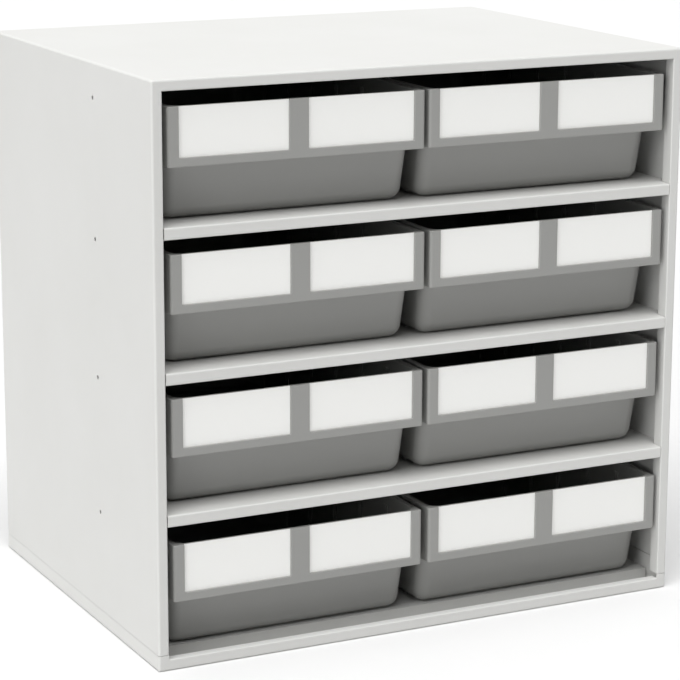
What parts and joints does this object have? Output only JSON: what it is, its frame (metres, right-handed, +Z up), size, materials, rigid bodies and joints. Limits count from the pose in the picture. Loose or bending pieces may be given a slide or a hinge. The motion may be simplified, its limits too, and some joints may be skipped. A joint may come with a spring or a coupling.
{
  "type": "parts bin cabinet",
  "caption": "Open-fronted sheet-steel cabinet with rows of pull-out plastic shelf bins, each with label cards across its front.",
  "frame": {"origin": "centre of the cabinet's footprint, on the surface that it stands on", "axes": "+X to the right seen from the front, +Y from the front to the back, +Z up"},
  "size_m": [0.4, 0.3, 0.395],
  "materials": {
    "powder_coated_steel": "light grey powder coat, fine texture, semi-matt",
    "grey_polypropylene": "mid grey moulded polypropylene, satin",
    "white_card": "blank white label card, matt"
  },
  "bodies": {
    "cabinet": {"side_panel_left": "powder_coated_steel", "side_panel_right": "powder_coated_steel", "top_panel": "powder_coated_steel", "base_tray": "powder_coated_steel", "back_panel": "powder_coated_steel", "floor_shelf": "powder_coated_steel", "shelf_1": "powder_coated_steel", "shelf_2": "powder_coated_steel", "shelf_3": "powder_coated_steel"},
    "bin_row1_left": {"bin_row1_left": "grey_polypropylene", "label_row1_left_a": "white_card", "label_row1_left_b": "white_card"},
    "bin_row1_right": {"bin_row1_right": "grey_polypropylene", "label_row1_right_a": "white_card", "label_row1_right_b": "white_card"},
    "bin_row2_left": {"bin_row2_left": "grey_polypropylene", "label_row2_left_a": "white_card", "label_row2_left_b": "white_card"},
    "bin_row2_right": {"bin_row2_right": "grey_polypropylene", "label_row2_right_a": "white_card", "label_row2_right_b": "white_card"},
    "bin_row3_left": {"bin_row3_left": "grey_polypropylene", "label_row3_left_a": "white_card", "label_row3_left_b": "white_card"},
    "bin_row3_right": {"bin_row3_right": "grey_polypropylene", "label_row3_right_a": "white_card", "label_row3_right_b": "white_card"},
    "bin_row4_left": {"bin_row4_left": "grey_polypropylene", "label_row4_left_a": "white_card", "label_row4_left_b": "white_card"},
    "bin_row4_right": {"bin_row4_right": "grey_polypropylene", "label_row4_right_a": "white_card", "label_row4_right_b": "white_card"}
  },
  "joints": [
    {"name": "row1_left_slide", "type": "slide", "parent": "cabinet", "child": "bin_row1_left", "axis": [0, -1, 0], "range_m": [0, 0.28]},
    {"name": "row1_right_slide", "type": "slide", "parent": "cabinet", "child": "bin_row1_right", "axis": [0, -1, 0], "range_m": [0, 0.28]},
    {"name": "row2_left_slide", "type": "slide", "parent": "cabinet", "child": "bin_row2_left", "axis": [0, -1, 0], "range_m": [0, 0.28]},
    {"name": "row2_right_slide", "type": "slide", "parent": "cabinet", "child": "bin_row2_right", "axis": [0, -1, 0], "range_m": [0, 0.28]},
    {"name": "row3_left_slide", "type": "slide", "parent": "cabinet", "child": "bin_row3_left", "axis": [0, -1, 0], "range_m": [0, 0.28]},
    {"name": "row3_right_slide", "type": "slide", "parent": "cabinet", "child": "bin_row3_right", "axis": [0, -1, 0], "range_m": [0, 0.28]},
    {"name": "row4_left_slide", "type": "slide", "parent": "cabinet", "child": "bin_row4_left", "axis": [0, -1, 0], "range_m": [0, 0.28]},
    {"name": "row4_right_slide", "type": "slide", "parent": "cabinet", "child": "bin_row4_right", "axis": [0, -1, 0], "range_m": [0, 0.28]}
  ]
}
